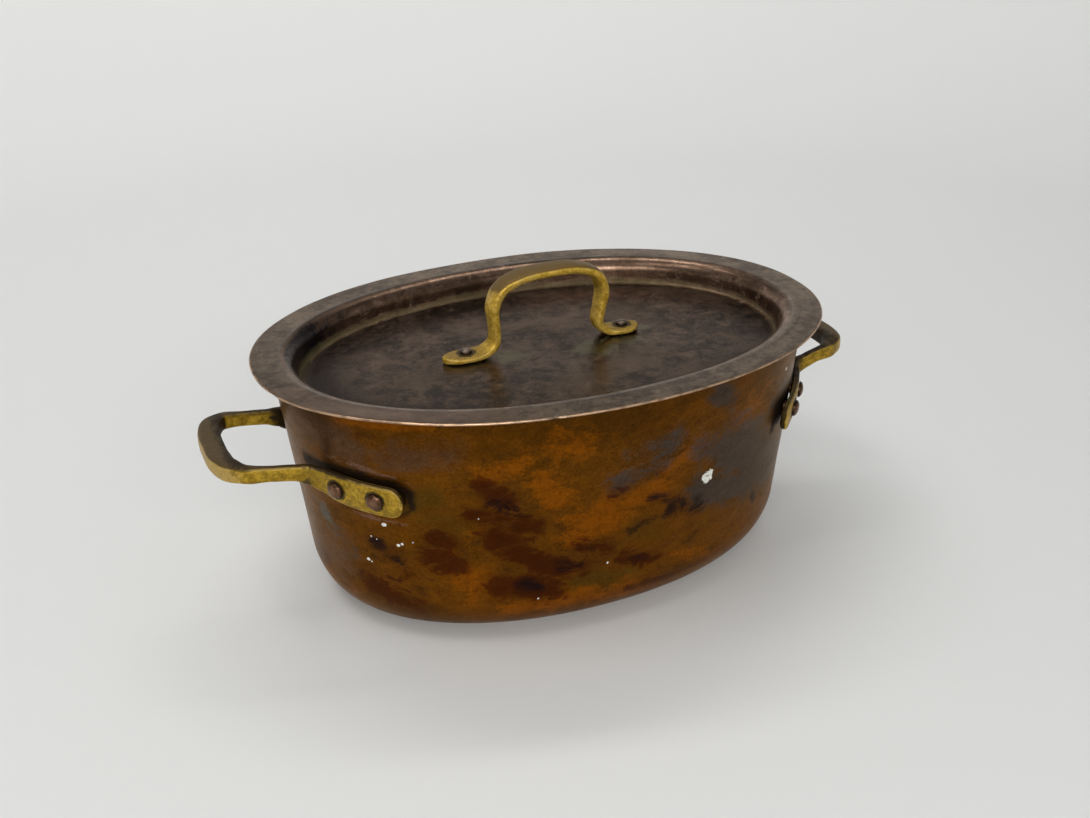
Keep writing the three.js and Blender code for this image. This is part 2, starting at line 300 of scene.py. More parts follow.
def lid_profile(end_inset=0.0):
    """The lid's upper face, from the middle of the panel to the flange's edge, and the panel's edge."""
    turn, radius, right = SHOULDER_TURN, SHOULDER_RADIUS, math.pi / 2
    shoulder_x = RIM_HALF_LENGTH - FLANGE_WIDTH
    wall_x = shoulder_x - radius * math.sin(turn)
    wall_y = FLANGE_TOP - radius * (1 - math.cos(turn))
    panel_y = FLANGE_TOP - LID_DEPTH
    fillet_top = panel_y + FILLET_RADIUS * (1 - math.cos(turn))
    foot_x = wall_x - (wall_y - fillet_top) / math.tan(turn)
    fillet_x = foot_x - FILLET_RADIUS * math.sin(turn)
    panel = [(0.0, panel_y)] + straight((0, panel_y), (fillet_x, panel_y), 40)
    fillet = arc((fillet_x, panel_y + FILLET_RADIUS), FILLET_RADIUS, -right, turn - right, 6)[1:]
    wall = straight(fillet[-1], (wall_x, wall_y), 4)
    shoulder = arc((shoulder_x, FLANGE_TOP - radius), radius, right + turn, right, 16)[1:]
    flange = straight((shoulder_x, FLANGE_TOP), (RIM_HALF_LENGTH - end_inset, FLANGE_TOP), 12)
    return panel + fillet + wall + shoulder + flange, fillet_x


def inset_from_rim(points):
    """How far each point lies inside the flange's edge, in millimetres, for any level of the lid."""
    x, y = np.abs(points[:, 0]), np.abs(points[:, 1])
    inset = np.zeros(len(points))
    for _ in range(40):
        a = RIM_HALF_LENGTH - inset
        b = np.maximum(RIM_HALF_WIDTH - inset, 1e-6)
        reach = ((x / a) ** OVAL_POWER + (y / b) ** OVAL_POWER) ** (1 / OVAL_POWER)
        inset += (1 - reach) * b
        inset = np.clip(inset, 0, RIM_HALF_WIDTH - 1)
    return inset


def bump_at(angles, centre, width):
    """1 at an angle round the oval, falling to 0 over a width, both in degrees."""
    apart = (np.degrees(angles) - centre + 180) % 360 - 180
    return bell(apart, 0, width)


def warped_lid(points, angles):
    """The flange isn't quite flat or even, and the panel is a little drummed."""
    inset = inset_from_rim(points)
    at_edge = smoothstep(FLANGE_WIDTH, 0, inset)
    on_panel = smoothstep(24, 50, inset)
    waves = 0.28 * soft_noise(points, 60, 3) + 0.1 * soft_noise(points, 18, 4)
    lifted = 0.8 * bump_at(angles, -140, 16) + 0.35 * bump_at(angles, -55, 22)
    points[:, 2] += at_edge * (waves + lifted) + on_panel * 0.3 * soft_noise(points, 45, 5)
    ragged = 0.12 + 0.12 * soft_noise(points, 30, 6) + 0.05 * soft_noise(points, 7, 7)
    notch = 0.8 * bump_at(angles, -104.5, 0.7) + 0.5 * bump_at(angles, -168, 2.5)
    shove_outwards(points, -at_edge * np.maximum(ragged + notch, 0))
    return points


def lid_sheet(low, high, end_inset=0.0):
    profile, panel_edge = lid_profile(end_inset)
    sheet = sheet_profile(profile, low, high)
    points, faces, angles = oval_sheet(sheet, LID_SIDES, RIM_HALF_LENGTH, panel_edge)
    return warped_lid(points, angles), faces


# ---- bars: a strap of changing section along a smooth path ----
def smooth_path(stations, shares):
    """Points on a centripetal Catmull-Rom curve through the stations, for shares from 0 to 1."""
    padded = np.vstack([2 * stations[0] - stations[1], stations, 2 * stations[-1] - stations[-2]])
    spans = len(stations) - 1
    span = np.minimum((shares * spans).astype(int), spans - 1)
    t = (shares * spans - span)[:, None]
    p0, p1, p2, p3 = [padded[span + k] for k in range(4)]
    d0, d1, d2 = [
        np.sqrt(np.linalg.norm(b - a, axis=1, keepdims=True)) for a, b in ((p0, p1), (p1, p2), (p2, p3))
    ]
    m1 = ((p1 - p0) / d0 - (p2 - p0) / (d0 + d1) + (p2 - p1) / d1) * d1
    m2 = ((p2 - p1) / d1 - (p3 - p1) / (d1 + d2) + (p3 - p2) / d2) * d1
    return (
        p1 + m1 * t
        + (-3 * p1 + 3 * p2 - 2 * m1 - m2) * t**2
        + (2 * p1 - 2 * p2 + m1 + m2) * t**3
    )


def bar(stations, across_at, end_round, squareness=4.2):
    """A closed strap through stations of (x, y, z, half width, half thickness)."""
    sides = 48
    stations = np.array(stations, dtype=float)
    spans = len(stations) - 1
    fine = np.linspace(0, 1, 4001)
    path = smooth_path(stations[:, :3], fine)
    walked = np.concatenate([[0], np.cumsum(np.linalg.norm(np.diff(path, axis=0), axis=1))])
    total = walked[-1]
    dense_end = end_round * (1 - np.cos(np.linspace(0, math.pi / 2, 14)))
    middle = np.linspace(end_round, total - end_round, 320)
    wanted = np.concatenate([dense_end[:-1] + 0.02, middle, (total - dense_end[:-1] - 0.02)[::-1]])
    shares = np.interp(wanted, walked, fine)
    centre = smooth_path(stations[:, :3], shares)
    ahead = smooth_path(stations[:, :3], np.minimum(shares + 1e-4, 1))
    behind = smooth_path(stations[:, :3], np.maximum(shares - 1e-4, 0))
    along = (ahead - behind) / np.linalg.norm(ahead - behind, axis=1, keepdims=True)
    across = across_at(centre)
    across -= along * (across * along).sum(axis=1, keepdims=True)
    across /= np.linalg.norm(across, axis=1, keepdims=True)
    through = np.cross(across, along)

    span = np.minimum((shares * spans).astype(int), spans - 1)
    part = smoothstep(0, 1, shares * spans - span)[:, None]
    wide, thick = (stations[span, 3:] * (1 - part) + stations[span + 1, 3:] * part).T
    from_end = np.minimum(wanted, total - wanted)
    rounding = 1 - np.minimum(from_end / end_round, 1)
    narrowing = np.maximum(np.sqrt(1 - rounding**2), 0.03)
    thinning = np.maximum(np.sqrt(1 - (1 - np.minimum(from_end / 1.2, 1)) ** 2), 0.1)

    turns = np.linspace(0, 2 * math.pi, sides, endpoint=False)
    u = signed_power(np.cos(turns), 2 / squareness)
    v = signed_power(np.sin(turns), 2 / squareness)
    points = (
        centre[:, None]
        + across[:, None] * (u[None, :, None] * (wide * narrowing)[:, None, None])
        + through[:, None] * (v[None, :, None] * (thick * thinning)[:, None, None])
    ).reshape(-1, 3)
    poles = np.array([centre[0] - along[0] * 0.02, centre[-1] + along[-1] * 0.02])
    faces = [tuple(reversed(face)) for face in closed_faces(len(centre), sides)]
    return np.vstack([points, poles]), faces


def cast_surface(points, strength=1.0):
    """The unevenness of sand-cast brass, filed by hand."""
    nudge = 0.12 * soft_noise(points, 9, 8) + 0.05 * soft_noise(points, 2.6, 9)
    aside = 0.1 * soft_noise(points, 11, 10)
    rise = 0.1 * soft_noise(points, 12, 11)
    return points + strength * np.column_stack([nudge - 0.08, aside, rise - 0.08])


# ---- the side handles, as if at +X ----
def wall_outward(degrees, height):
    angles = math.radians(degrees) + np.array([-1e-3, 1e-3])
    x, y = oval_points(wall_half_length(height), angles)
    outward = np.array([y[1] - y[0], x[0] - x[1], 0])
    return outward / np.linalg.norm(outward)


def off_wall(degrees, height, distance=0.0):
    """The place on the pot's wall at an angle and a height, or a distance straight out from it."""
    x, y = oval_points(wall_half_length(height), math.radians(degrees))
    return np.array([x, y, height]) + wall_outward(degrees, height) * distance


def side_stations(reach, spread, foot_droop):
    def foot(degrees, drop, standoff, tall=1.0):
        at = off_wall(degrees, GRIP_HEIGHT - drop, FOOT_HALF_THICK + standoff)
        return (*at, FOOT_HALF_TALL * tall, FOOT_HALF_THICK)

    def arm(x, y, drop, tall=1.0, thick=1.0):
        return (x, y, GRIP_HEIGHT - drop, ARM_HALF_TALL * tall, ARM_HALF_THICK * thick)

    def grip(x, y, thick=1.0):
        return (x, y, GRIP_HEIGHT, GRIP_HALF_TALL, GRIP_HALF_THICK * thick)

    half = [
        foot(44.0, 11.9 + foot_droop, 2.0),
        foot(42.4, 11.8 + foot_droop * 0.9, 1.8),
        foot(40.0, 11.6 + foot_droop * 0.7, 1.5),
        foot(35.0, 11.2 + foot_droop * 0.3, 1.0),
        foot(30.0, 10.6, 0.6),
        foot(25.5, 9.6, 0.5, 0.98),
        foot(21.5, 8.0, 1.0, 0.82),
        arm(NECK_X, spread + 1.2, 5.4, 1.35),
        arm(NECK_X + 7, spread, 3.6, 1.05),
        arm(reach - 20, spread - 0.6, 1.9),
        arm(reach - 9.6, spread - 2.2, 0.5, 1.1, 1.4),
        grip(reach - 2.9, spread - 9.5, 0.9),
        grip(reach - 0.5, spread - 20),
    ]
    mirrored = [(x, -y, z, wide, thick) for x, y, z, wide, thick in reversed(half)]
    return half + [grip(reach, 0)] + mirrored


def side_across(points):
    """The feet lean with the wall; the arms and the grip stand upright."""
    lean = math.tan(POT_TAPER) * (1 - smoothstep(128, 142, points[:, 0]))
    outwards = outwards_at(points, wall_half_length(points[:, 2]))
    return np.column_stack([outwards * lean[:, None], np.ones(len(points))])


def foot_rivets(sign):
    """Where the two rivets of a foot leave it: (point, outward, grip) nearest the grip first."""
    placed = []
    for degrees, drop, standoff in zip(RIVET_ANGLES, RIVET_DROPS, RIVET_STANDOFFS):
        angle, height = sign * degrees, GRIP_HEIGHT - drop
        outward = wall_outward(angle, height)
        outward[2] = -math.tan(POT_TAPER)
        outward /= np.linalg.norm(outward)
        reach = 2 * FOOT_HALF_THICK + standoff
        point = off_wall(angle, height) + outward * reach
        placed.append((point, outward, reach + POT_WALL + GAP + TIN + CURVE_GAP))
    return placed


def half_turned(vector):
    return np.array([-vector[0], -vector[1], vector[2]])


def all_side_rivets():
    """Every side rivet by its CAD name."""
    feet = {"right_back": foot_rivets(1), "right_front": foot_rivets(-1)}
    for left, right in (("left_back", "right_front"), ("left_front", "right_back")):
        feet[left] = [(half_turned(p), half_turned(n), grip) for p, n, grip in feet[right]]
    return {f"{foot}_rivet_{i + 1}": r for foot, rivets in feet.items() for i, r in enumerate(rivets)}


# ---- the lid's bow handle ----
PANEL_TOP = FLANGE_TOP - LID_DEPTH
BOW_FOOT_HEIGHT = PANEL_TOP + GAP + BOW_FOOT_HALF_THICK


def bow_stations():
    def station(x, height, wide, thick):
        return (x + BOW_OFFSET[0], BOW_OFFSET[1], height, wide, thick)

    def foot(x, wide=1.0):
        return station(x, BOW_FOOT_HEIGHT, BOW_FOOT_HALF_WIDE * wide, BOW_FOOT_HALF_THICK)

    def heel(x):
        return station(x, BOW_FOOT_HEIGHT + 0.9, BOW_HALF_WIDE * 1.15, BOW_HALF_THICK * 0.95)

    def leg(x, height):
        return station(x, height, BOW_HALF_WIDE, BOW_HALF_THICK)

    def arch(x, rise, wide):
        return station(x, FLANGE_TOP + rise, BOW_HALF_WIDE * wide, BOW_HALF_THICK * 1.12)

    return [
        foot(-56.6, 0.75), foot(-53.0, 0.9), foot(-47.0), foot(-41.0), heel(-34.0),
        leg(-28.8, BOW_FOOT_HEIGHT + 5), leg(-28.2, FLANGE_TOP + 2),
        arch(-28.6, 12, 1.1), arch(-24.0, 21, 1.2), arch(-13.0, 25.8, 1.3),
        arch(2.0, 27, 1.3),
        arch(17.0, 26.2, 1.3), arch(28.4, 21.4, 1.2), arch(32.6, 12, 1.1),
        leg(30.8, FLANGE_TOP + 2), leg(29.8, BOW_FOOT_HEIGHT + 5.4),
        heel(34.6), foot(41.0), foot(46.0), foot(50.0, 0.9), foot(53.4, 0.75),
    ]


def lid_rivets():
    grip = 2 * BOW_FOOT_HALF_THICK + GAP + LID_SHEET + GAP + TIN + GAP
    height = BOW_FOOT_HEIGHT + BOW_FOOT_HALF_THICK
    return {
        f"lid_{side}_rivet": (
            np.array([sign * BOW_RIVET_X + BOW_OFFSET[0], BOW_OFFSET[1], height]),
            np.array([0.0, 0.0, 1.0]),
            grip,
        )
        for side, sign in (("left", -1), ("right", 1))
    }


# ---- rivets and their holes ----
def turned(profile, point, outward, sides):
    """A profile of (radius, distance outward) turned round an axis, from the tail out to the head.

    Gives its points as they lie about Z, its points in place, and its faces."""
    turn = np.array(Vector((0, 0, 1)).rotation_difference(Vector(outward)).to_matrix())
    angles = np.linspace(0, 2 * math.pi, sides, endpoint=False)
    rings = profile[1:-1]
    flat = np.array([[(r * math.cos(a), r * math.sin(a), h) for a in angles] for r, h in rings])
    local = np.vstack([flat.reshape(-1, 3), [(0, 0, profile[0][1]), (0, 0, profile[-1][1])]])
    return local, local @ turn.T + point, closed_faces(len(rings), sides)


def rivet_shape(point, outward, grip, size, seed):
    """An upset rivet: a tail inside, a shank, and a hammered, domed head outside."""
    def dome(radius, height, steps):
        turns = np.linspace(0, math.pi / 2, steps + 1)
        return [(radius * math.sin(t), height * math.cos(t) ** 0.8) for t in turns]

    tail = [(r, -grip - h) for r, h in dome(size["tail"], size["tail_height"], 8)]
    head = [(r, GAP + h) for r, h in dome(size["head"], size["head_height"], 14)]
    rolled = [(size["head"] - 0.25, GAP - 0.02)]
    shank = [(size["shank"], -grip), (size["shank"], GAP - 0.02)]
    profile = tail + shank + rolled + head[::-1]
    local, points, faces = turned(profile, point, outward, 44)
    hammered = 0.14 * soft_noise(local, 2.4, seed) + 0.08 * soft_noise(local, 1.1, seed + 1)
    on_head = smoothstep(GAP + 0.3, GAP + 1.2, local[:, 2])
    points = points - np.outer(on_head * (np.abs(hammered) + 0.02), outward)
    return points, faces, local


def drill(piece, rivets, size):
    """Cuts the rivets' holes through a piece."""
    radius, length = size["shank"] + HOLE_CLEARANCE, 20
    profile = [(0, -length), (radius, -length), (radius, length), (0, length)]
    all_points, all_faces = [], []
    for point, outward, _ in rivets:
        _, points, faces = turned(profile, point, outward, 32)
        start = len(all_points)
        all_points += points.tolist()
        all_faces += [tuple(start + i for i in face) for face in faces]
    cutter = new_object("drill", all_points, all_faces, smooth=False)
    modifier = piece.modifiers.new("holes", "BOOLEAN")
    modifier.operation = "DIFFERENCE"
    modifier.solver = "EXACT"
    modifier.object = cutter
    graph = bpy.context.evaluated_depsgraph_get()
    cut = bpy.data.meshes.new_from_object(piece.evaluated_get(graph))
    piece.modifiers.clear()
    piece.data = cut
    cut.set_sharp_from_angle(angle=math.radians(35))
    bpy.data.objects.remove(cutter)


# ---- materials: nodes written as arithmetic ----
class Value:
    """A number or colour that a node gives. It adds and multiplies like a plain number."""

    def __init__(self, look, socket):
        self.look, self.socket = look, socket

    def __add__(self, other):
        return self.look.math("ADD", self, other)

    def __mul__(self, other):
        return self.look.math("MULTIPLY", self, other)

    def most(self, other):
        return self.look.math("MAXIMUM", self, other)

    def ramp(self, low, high, start=0.0, end=1.0):
        """Runs smoothly from start to end as the value goes from low to high."""
        sockets = {"Value": self, 1: low, 2: high, 3: start, 4: end}
        return self.look.node("ShaderNodeMapRange", sockets, interpolation_type="SMOOTHSTEP")

    def mix(self, share, tint):
        """This colour with a share of a tint laid over it."""
        return self.look.mix(share, self, tint)

    def shade(self, factor):
        return self.look.mix(1.0, self, factor, "MULTIPLY")


def sum_of(*parts):
    """The sum of some noises, each brought to lie around 0 and multiplied by its weight."""
    return reduce(Value.__add__, [(value + -0.5) * weight for value, weight in parts])


class Look:
    """A material on its way. Sizes are in millimetres, colours are linear, and shares are 0 to 1."""

    def __init__(self, name, **sockets):
        self.material = bpy.data.materials.new(name)
        self.material.use_nodes = True
        self.tree = self.material.node_tree
        self.place = self.node("ShaderNodeTexCoord", output="Object")
        self.set(**{"Metallic": 1.0, "Roughness": 0.4, **sockets})

    def feed(self, socket, value):
        if isinstance(value, Value):
            self.tree.links.new(value.socket, socket)
        elif isinstance(value, tuple) and len(value) == 3 and len(socket.default_value) == 4:
            socket.default_value = (*value, 1)
        else:
            socket.default_value = value

    def set(self, **sockets):
        """Sets or links the shader's own sockets."""
        for socket, value in sockets.items():
            self.feed(self.tree.nodes["Principled BSDF"].inputs[socket.replace("_", " ")], value)

    def node(self, kind, sockets=(), output=0, **settings):
        made = self.tree.nodes.new(kind)
        for setting, value in settings.items():
            setattr(made, setting, value)
        for socket, value in dict(sockets).items():
            self.feed(made.inputs[socket], value)
        return Value(self, made.outputs[output])

    def math(self, operation, one, other):
        return self.node("ShaderNodeMath", {0: one, 1: other}, operation=operation)

    def mix(self, share, one, other, blend="MIX"):
        sockets = {0: share, 6: one, 7: other}
        return self.node("ShaderNodeMix", sockets, 2, data_type="RGBA", blend_type=blend)

    def axis(self, index):
        """A coordinate of the place, in millimetres."""
        return self.node("ShaderNodeSeparateXYZ", {0: self.place}, index) * (1 / MM)

    def unwrapped(self):
        """The piece's own flat map: the distance round it and its height, in metres."""
        return self.node("ShaderNodeUVMap", uv_map="unwrapped")

    def layer(self, name):
        return self.node("ShaderNodeAttribute", output="Fac", attribute_name=name)

    def cover(self, layer, ragged, low, high, strength):
        """How much of a stain shows where its painted layer is strong, with a broken outline."""
        painted = self.layer(layer)
        return (painted + ragged).ramp(low, high) * painted.ramp(0.02, 0.25) * strength

    def cloud(self, where, sizes, turn, detail, roughness=0.5, distortion=0.0):
        """Noise around 0.5 whose features have these sizes along the axes, turned about Z."""
        sockets = {"Vector": where, "Rotation": (0, 0, turn), "Scale": [size * MM for size in sizes]}
        spread = self.node("ShaderNodeMapping", sockets, vector_type="TEXTURE")
        sockets = {
            "Vector": spread, "Scale": 1.0, "Detail": detail,
            "Roughness": roughness, "Distortion": distortion,
        }
        return self.node("ShaderNodeTexNoise", sockets)

    def noise(self, size, detail, roughness, distortion=0.0, stretch=(1, 1, 1), where=None):
        """Noise around 0.5 with features of a size, longer along the axes that are stretched."""
        sizes = [size * along for along in stretch]
        return self.cloud(where or self.place, sizes, 0, detail, roughness, distortion)

    def streaks(self, length, width, turn):
        """Noise drawn out along a direction on the piece's flat map."""
        return self.cloud(self.unwrapped(), (length, width, 1 / MM), turn, 7.0, 0.68, 0.6)

    def scratches(self, where, *directions):
        """Fine straight lines as a mask. Each direction is (length, spacing, turn, amount)."""
        masks = []
        for length, spacing, turn, amount in directions:
            lines = self.cloud(where, (length, spacing, 1 / MM), turn, 2.0)
            masks.append(lines.ramp(0.74 - 0.12 * amount, 0.80 - 0.06 * amount))
        return reduce(Value.__add__, masks)

    def spot(self, centre, radius, ragged):
        """A ragged spot at a place in millimetres."""
        sockets = {0: self.place, 1: tuple(centre * MM)}
        apart = self.node("ShaderNodeVectorMath", sockets, "Value", operation="DISTANCE") * (1 / MM)
        return (apart + (ragged + -0.5) * (radius * 1.5)).ramp(radius, radius * 0.9)

    def bump(self, *heights):
        """Raises the surface by each (height from 0 to 1, millimetres it stands for)."""
        normal = {}
        for height, tall in heights:
            sockets = {"Height": height, "Distance": tall * MM, "Strength": 1.0, **normal}
            normal = {"Normal": self.node("ShaderNodeBump", sockets)}
        self.set(**normal)


# ---- the marks on the pot's wall ----
# Each mark is a soft stroke from one place on the wall to another. A place is its angle round the oval
# in degrees (the front is -90, the left end 180, the right end 0) and its height in millimetres. So a
# mark holds angle, height, end angle, end height, the stroke's radius in millimetres and its strength.
WALL_MARKS = {
    "orange": [
        (-118, 100, -112, 104, 9, 0.7), (-107, 92, -104, 84, 10, 0.8), (-124, 42, -114, 34, 13, 0.7),
        (-104, 112, -98, 108, 10, 0.6), (-82, 86, -74, 96, 8, 0.7), (-84, 77, -90, 73, 9, 0.8),
        (-94, 68, -99, 62, 13, 1.0), (-151, 125, -128, 126.5, 2.6, 1.3), (-127, 55, -119, 66, 10, 0.5),
        (-62, 100, -54, 110, 10, 0.6), (-114, 22, -88, 20, 9, 0.8), (-76, 30, -68, 25, 7, 0.6),
        (60, 80, 78, 66, 16, 0.6), (100, 95, 112, 88, 12, 0.6), (130, 50, 140, 60, 11, 0.6),
        (20, 60, 28, 50, 10, 0.6), (158, 40, 165, 52, 9, 0.5), (84, 30, 98, 46, 9, 0.5),
    ],
    "maroon": [
        (-150, 30, -137, 22, 12, 0.8), (-142, 40, -132, 48, 10, 0.55), (-131, 66, -125, 60, 8, 0.6),
        (-133, 52, -126, 50, 9, 0.75), (-116, 36, -106, 32, 11, 0.9), (-107, 47, -102, 41, 9, 0.8),
        (-117, 64, -111, 56, 10, 0.8), (-119, 93, -113, 86, 8, 0.8), (-121, 78, -108, 70, 8, 0.7),
        (-90, 41, -83, 37, 8, 0.7), (-99, 54, -93, 50, 8, 0.7), (-102, 46, -92, 45, 8, 0.5),
        (-90, 20, -68, 20, 5, 0.6), (-92, 80, -84, 89, 7, 0.45), (-108, 50, -98, 40, 7, 0.8),
        (80, 40, 95, 30, 15, 0.7), (45, 95, 55, 85, 11, 0.6), (120, 105, 130, 98, 10, 0.6),
        (150, 85, 160, 70, 13, 0.6), (10, 30, 25, 22, 13, 0.7), (170, 25, -172, 34, 12, 0.6),
        (62, 112, 74, 100, 11, 0.6), (112, 30, 124, 42, 13, 0.6), (86, 74, 97, 58, 12, 0.6),
    ],
    "black": [
        (-147, 59, -141, 49, 8, 0.75), (-112, 35, -108, 34, 6, 0.8), (-73, 57, -79, 64, 9, 0.7),
        (-80, 68, -85, 72, 6, 0.55), (-84, 61, -91, 54, 4, 0.5), (-51.5, 46, -50, 42, 3.2, 0.9),
        (-117, 85, -112, 79, 8, 0.55), (-143, 38, -137, 30, 8, 0.5), (-103, 44, -99, 42, 5.5, 0.75),
        (-101, 53, -96, 49, 6, 0.5), (-89, 40, -85, 38, 5, 0.5), (70, 60, 85, 52, 9, 0.6),
        (115, 70, 125, 62, 9, 0.65), (35, 70, 40, 60, 7, 0.6),
    ],
    "slate": [
        (-74, 92, -65, 82, 11, 0.6), (-62, 82, -43, 60, 19, 0.9), (-71, 120, -67, 113, 7, 0.6),
        (-91, 87, -82, 95, 9, 0.60), (-90, 98, -80, 104, 7, 0.5), (-42, 96, -28, 66, 17, 0.8),
        (-72, 66, -56, 58, 12, 0.8), (-20, 80, -12, 55, 16, 0.55), (-161, 66, -156, 50, 10, 0.45),
        (50, 60, 62, 44, 17, 0.45), (140, 85, 152, 95, 15, 0.45), (90, 110, 104, 114, 10, 0.45),
        (108, 84, 116, 72, 19, 0.50), (30, 30, 42, 24, 10, 0.5),
    ],
    "mauve": [
        (-168, 116, -150, 108, 14, 0.9), (-176, 100, -164, 92, 16, 0.8), (-162, 84, -148, 80, 10, 0.45),
        (-140, 108, -126, 112, 10, 0.65), (178, 60, -168, 45, 18, 0.8), (-160, 35, -164, 62, 12, 0.6),
        (-36, 112, -18, 112, 14, 0.6), (-8, 100, 12, 90, 17, 0.6), (150, 112, 165, 108, 14, 0.6),
        (70, 50, 88, 36, 15, 0.5), (118, 100, 132, 108, 14, 0.5),
    ],
    "olive": [
        (-136, 84, -130, 88, 9, 0.9), (-132, 76, -124, 70, 10, 0.5), (-98, 32, -89, 28, 10, 0.8),
        (-88, 56, -82, 50, 10, 0.5), (40, 40, 50, 35, 11, 0.5), (105, 60, 112, 50, 14, 0.6),
        (66, 94, 84, 100, 14, 0.5),
    ],
    "soot": [
        (-168, 94, -156, 94.5, 4.5, 0.9), (-156, 94.5, -146, 93.5, 4.6, 1.1),
        (-146, 93.5, -138.5, 92, 4.2, 1.1), (-138.5, 92, -135.0, 89, 3.4, 1.0),
        (-135.0, 89, -134.8, 82, 2.6, 0.75), (-136, 79, -138, 76, 2.0, 0.5),
        (164, 94, 148, 93, 4.4, 0.9), (148, 93, 134.6, 88, 3.8, 0.9), (16, 94, 32, 93, 4.4, 0.9),
        (32, 93, 45.4, 88, 3.8, 0.9), (-16, 94, -32, 93, 4.4, 0.9), (-32, 93, -45.4, 88, 3.8, 0.9),
        (-45.4, 88, -45.8, 80, 3.0, 0.9),
    ],
    "tide": [
        (-158, 102, -150, 101.6, 1.6, 0.9), (-150, 101.6, -144, 99.4, 1.5, 1.0),
        (-144, 99.4, -138, 97.4, 1.3, 1.0), (-138, 97.4, -133, 93, 1.3, 0.7),
        (-152, 74, -137, 71.5, 1.4, 0.9),
    ],
    "verdigris": [
        (-164.5, 66, -164, 65, 5.0, 1.2), (-172, 72, -168, 70, 3, 0.6),
    ],
    "haze": [
        (-163, 40, -163, 62, 10, 0.6), (-30, 60, -34, 100, 14, 0.6), (-160, 118, -150, 112, 8, 0.5),
    ],
}
# Crumbs of old white paint: angle, height and radius.
PAINT_SPOTS = [
    (-71, 74, 3.9), (-143, 70, 1.4), (-147.5, 61.5, 0.7), (-146, 60.5, 0.6), (-150, 47, 1.0),
    (-93, 40, 0.8), (-108, 26, 0.7), (-140, 59, 1.0), (-138.8, 60, 0.8), (-136, 61.5, 0.7),
    (-43, 112, 0.9), (-120, 76, 0.5), (-149, 46, 0.5),
]


def stroke(points, angle, height, end_angle, end_height, radius):
    """How strongly a soft stroke covers each point: 1 along its middle, fading over its radius."""
    turn = (end_angle - angle + 180) % 360 - 180
    shares = np.linspace(0, 1, 2 + int(abs(turn) / 4))
    stops = [off_wall(angle + turn * share, height + (end_height - height) * share) for share in shares]
    cover = np.zeros(len(points))
    for a, b in zip(stops, stops[1:]):
        along = b - a
        share = np.clip((points - a) @ along / max(along @ along, 1e-9), 0, 1)
        apart = np.linalg.norm(points - a - share[:, None] * along, axis=1)
        cover = np.maximum(cover, bell(apart, 0, radius))
    return cover


def angle_round(points):
    """The angle round the oval of points on the pot's wall."""
    half_length = wall_half_length(np.maximum(points[:, 2], POT_CORNER))
    half_width = half_length - OVAL_DIFFERENCE
    x = signed_power(points[:, 0] / half_length, OVAL_POWER / 2)
    y = signed_power(points[:, 1] / half_width, OVAL_POWER / 2)
    return np.arctan2(y, x)


def unwrap(piece):
    """A flat map of the distance round the oval and the height, cut at the middle of the back."""
    mesh, points = piece.data, piece_points(piece)
    angles, around = even_angles(POT_SPREAD, 720)
    circuit = around[-1] + around[1]
    angles, around = np.append(angles, angles[0] + 2 * math.pi), np.append(around, circuit)
    turn = (angle_round(points) - math.pi / 2) % (2 * math.pi) + math.pi / 2
    distance = np.interp(turn, angles, around)
    corner = read(mesh.loops, "vertex_index")
    u = distance[corner]
    face_start = np.repeat(u[read(mesh.polygons, "loop_start")], read(mesh.polygons, "loop_total"))
    u -= np.round((u - face_start) / circuit) * circuit
    flat = np.column_stack([u, points[corner, 2]]) * MM
    layer = mesh.uv_layers.new(name="unwrapped")
    layer.data.foreach_set("uv", flat.astype(np.float32).ravel())


